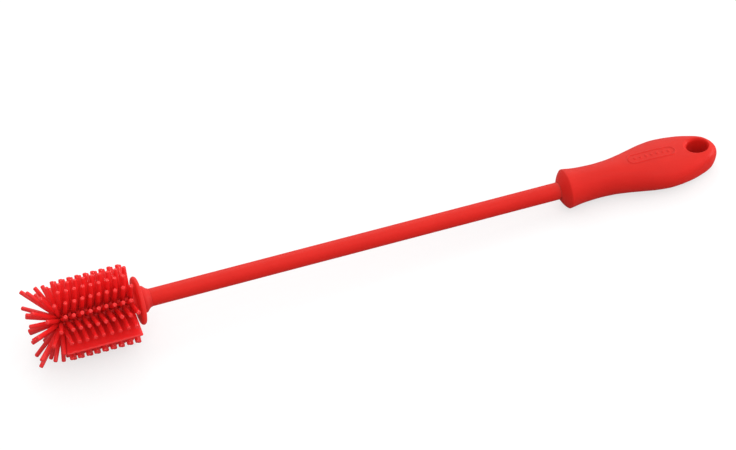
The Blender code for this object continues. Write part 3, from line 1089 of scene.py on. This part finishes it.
def build_plug():
    """The barbed plug inside the head, bored from its +X end for the rod."""
    x0, x1 = PLUG_LO.x, PLUG_HI.x
    profile = [(x0, 0.0), (x0, PLUG_BODY_R - 1.1 * MM)]
    for degrees in range(15, 91, 15):
        angle = math.radians(degrees)
        profile.append((
            x0 + PLUG_ROUND * (1 - math.cos(angle)),
            PLUG_BODY_R - PLUG_ROUND * (1 - math.sin(angle)),
        ))
    for k in range(BARBS):
        start = x0 + BARB_FIRST + k * BARB_PITCH
        profile += [(start + at * MM, radius + more * MM) for at, radius, more in BARB]
    profile += [
        (x1 - 0.2 * MM, PLUG_BODY_R),
        (x1, PLUG_BODY_R - 0.2 * MM),
        (x1, ROD_BORE_R),
        (PLUG_BORE_END_X, ROD_BORE_R),
        (PLUG_BORE_END_X, 0.0),
    ]
    return add_object("barbed_plug", revolved("barbed_plug", profile, 72))


plug = build_plug()
dress(plug, NYLON, sharp_degrees=30)
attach(plug, "handle_and_shaft")
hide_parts("head_plug")

set_material(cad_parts["core_rod"], STEEL)
set_material(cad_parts["handle_core"], NYLON)


# ================================================================== floor
FLOOR_SIZE = 14.0
FLOOR_PLACE = (-0.146, 0.0, -0.02224)
FLOOR_RISE = 0.0412  # metres up per metre along X
FLOOR_GLOW = 1.12  # strength of the floor's own light, as the camera sees it
FLOOR_GLOW_SHARE = 0.6
FLOOR_BOUNCE = 0.40  # how much light the floor throws back on the brush


def pale_floor():
    """Near white when seen directly; what it throws back is weaker and neutral."""
    material, tree, shader = node_material("pale_floor")
    tone = object_noise(tree, scale=3.0)
    feed_all(tree, shader, {
        "Base Color": colour_mix(tree, tone, (0.90, 0.90, 0.90), (0.92, 0.92, 0.92)),
        "Roughness": 0.9,
        "Specular IOR Level": 0.05,
    })
    glow = add(
        tree, "ShaderNodeEmission", Color=(1.0, 1.0, 1.0, 1.0), Strength=FLOOR_GLOW
    )
    seen = add(
        tree, "ShaderNodeMixShader",
        FLOOR_GLOW_SHARE, shader.outputs["BSDF"], glow.outputs["Emission"],
    )
    dull = add(
        tree, "ShaderNodeBsdfDiffuse", Color=(FLOOR_BOUNCE, FLOOR_BOUNCE, FLOOR_BOUNCE, 1.0)
    )
    path = add(tree, "ShaderNodeLightPath")
    both = add(
        tree, "ShaderNodeMixShader",
        path.outputs["Is Camera Ray"], dull.outputs["BSDF"], seen.outputs["Shader"],
    )
    feed(tree, tree.nodes["Material Output"].inputs["Surface"], both.outputs["Shader"])
    return material


def build_floor():
    """A plain floor, tipped so that the brush lies on its head and its handle's belly."""
    bpy.ops.mesh.primitive_plane_add(size=FLOOR_SIZE, location=FLOOR_PLACE)
    floor = bpy.context.object
    floor.name = "floor"
    floor.rotation_euler = (0.0, -math.atan(FLOOR_RISE), 0.0)
    floor.data.materials.append(pale_floor())


# ================================================================== light
DOME_TOP = (0.38, 0.45, 0.81)  # direction of the brightest part
DOME_LOW = 0.72  # strength opposite the brightest part
DOME_HIGH = 1.12
DOME_NOSE = 0.50  # share of the light left in the -X direction

# name, place, target, disk diameter in metres, watts
LIGHTS = [
    ("key", (0.20, 1.10, 1.15), (0, 0, 0), 0.8, 3.2),
    ("end_fill", (0.85, -0.06, 0.07), (0.2, 0, 0), 0.25, 2.1),
    ("glint_left", (-0.75, -1.0, 1.25), (-0.16, 0, 0), 0.12, 1.25),
    ("glint_right", (0.45, -0.75, 1.45), (-0.16, 0, 0), 0.12, 1.25),
]


def build_world():
    """A soft studio dome: brightest above and behind the brush, dimmer towards the camera."""
    scene = bpy.context.scene
    if scene.world is None:
        scene.world = bpy.data.worlds.new("studio")
    scene.world.use_nodes = True
    tree = scene.world.node_tree
    direction = add(tree, "ShaderNodeTexCoord").outputs["Generated"]
    height = along_direction(tree, direction, Vector(DOME_TOP).normalized())
    dome = ramp(
        tree, height, span=(-0.9, 1.0), onto=(DOME_LOW, DOME_HIGH), shape="SMOOTHSTEP"
    )
    # less light comes along the brush from beyond its nose
    nose_side = ramp(tree, x_part(tree, direction), span=(-1.0, -0.1), onto=(DOME_NOSE, 1.0))
    feed_all(tree, tree.nodes["Background"], {
        "Color": (1.0, 1.0, 1.0, 1.0),
        "Strength": math_node(tree, "MULTIPLY", dome, nose_side),
    })


def area_light(name, place, target, size, power):
    data = bpy.data.lights.new(name, "AREA")
    data.shape = "DISK"
    data.size = size
    data.energy = power
    light = add_object(name, data)
    light.location = place
    aim = Vector(target) - Vector(place)
    light.rotation_euler = aim.to_track_quat("-Z", "Y").to_euler()


build_floor()
build_world()
for light_values in LIGHTS:
    area_light(*light_values)

bpy.context.scene.view_settings.view_transform = "Standard"
bpy.context.scene.view_settings.look = "None"


# ================================================================== camera
LENS_MM = 135.97826
BRUSH_TILT = math.radians(13.7)  # how far the handle end points away from the camera
BRUSH_LEVEL = 0.96775  # cosine of the brush's slope across the view
BRUSH_ROLL = math.radians(46.5)  # turn of the brush about its own axis
AIM_X = -8.486 * MM  # a place on the brush's axis, and where the camera's axes have it
AIM_SEEN = Vector((0.0, -8.49611, -1519.4577)) * MM


def build_camera():
    """A long lens, above the brush on its -Y side; the handle end is further off.

    The brush is placed in the camera's axes, and the camera gets the inverse.
    """
    across = math.cos(BRUSH_TILT) * BRUSH_LEVEL
    upward = math.sqrt(math.cos(BRUSH_TILT) ** 2 - across**2)
    along = Vector((across, upward, -math.sin(BRUSH_TILT)))
    to_camera = Vector((0, 0, 1))
    near = (to_camera - along * along.dot(to_camera)).normalized()
    up = near.cross(along).normalized()
    brush_z = up * math.cos(BRUSH_ROLL) + near * math.sin(BRUSH_ROLL)
    brush_y = brush_z.cross(along)
    turn = Matrix((along, brush_y, brush_z)).transposed()
    placed = Matrix.Translation(AIM_SEEN - along * AIM_X) @ turn.to_4x4()
    data = bpy.data.cameras.new("camera")
    data.sensor_width = 36.0
    data.sensor_fit = "HORIZONTAL"
    data.lens = LENS_MM
    data.clip_start = 0.05
    data.clip_end = 60.0
    camera = add_object("camera", data)
    camera.matrix_world = placed.inverted()
    bpy.context.scene.camera = camera


build_camera()
